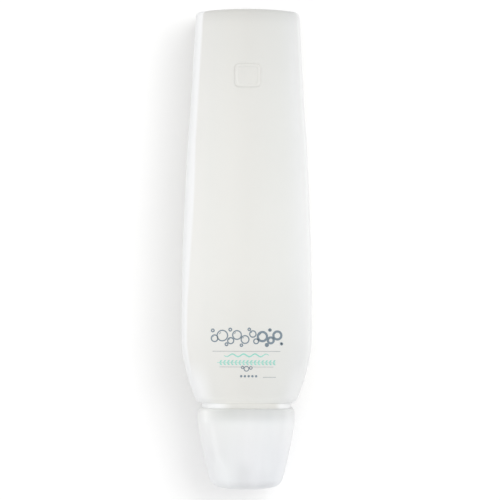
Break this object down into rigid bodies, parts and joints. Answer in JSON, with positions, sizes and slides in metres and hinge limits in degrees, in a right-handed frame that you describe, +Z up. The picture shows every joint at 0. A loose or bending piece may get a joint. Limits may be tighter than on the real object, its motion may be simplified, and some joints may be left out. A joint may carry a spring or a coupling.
{
  "type": "hand soap refill pack",
  "caption": "Tapered, flat-backed plastic bottle of liquid hand soap lying on its back, with a sprung foam pump in its neck under a pull-off see-through cover.",
  "frame": {"origin": "centre of the bounding box on the surface that the pack lies on", "axes": "+X across the pack, +Y along it from the pump to the base, +Z up out of the printed front"},
  "size_m": [0.0882, 0.3262, 0.07],
  "materials": {
    "bottle_plastic": "satin",
    "soap_liquid": "gloss",
    "pump_plastic": "satin",
    "gasket_foam": "matte",
    "frame_plastic": "satin",
    "silicone": "satin",
    "spring_steel": "polished",
    "screen_nylon": "matte",
    "cap_plastic": "satin"
  },
  "bodies": {
    "pack": {"bottle": "bottle_plastic", "soap": "soap_liquid", "closure_ring": "pump_plastic", "neck_gasket": "gasket_foam", "pump_body": "frame_plastic", "inlet_valve": "silicone", "return_spring": "spring_steel"},
    "pump_head": {"actuator": "pump_plastic", "air_piston": "frame_plastic", "air_delivery_valve": "silicone", "air_intake_valve": "silicone", "piston_stem": "frame_plastic", "stem_seal": "silicone", "outlet_valve": "silicone", "mixing_insert": "frame_plastic", "mesh_sleeve": "frame_plastic", "coarse_screen": "screen_nylon", "fine_screen": "screen_nylon"},
    "cover": {"overcap": "cap_plastic"}
  },
  "joints": [
    {"name": "pump_stroke", "type": "slide", "parent": "pack", "child": "pump_head", "axis": [0, 1, 0], "range_m": [0, 0.012], "stiffness_N_per_m": 1000, "springref_m": -0.006, "deforming": ["return_spring"]},
    {"name": "cover_pull", "type": "slide", "parent": "pack", "child": "cover", "axis": [0, -1, 0], "range_m": [0, 0.066]}
  ]
}
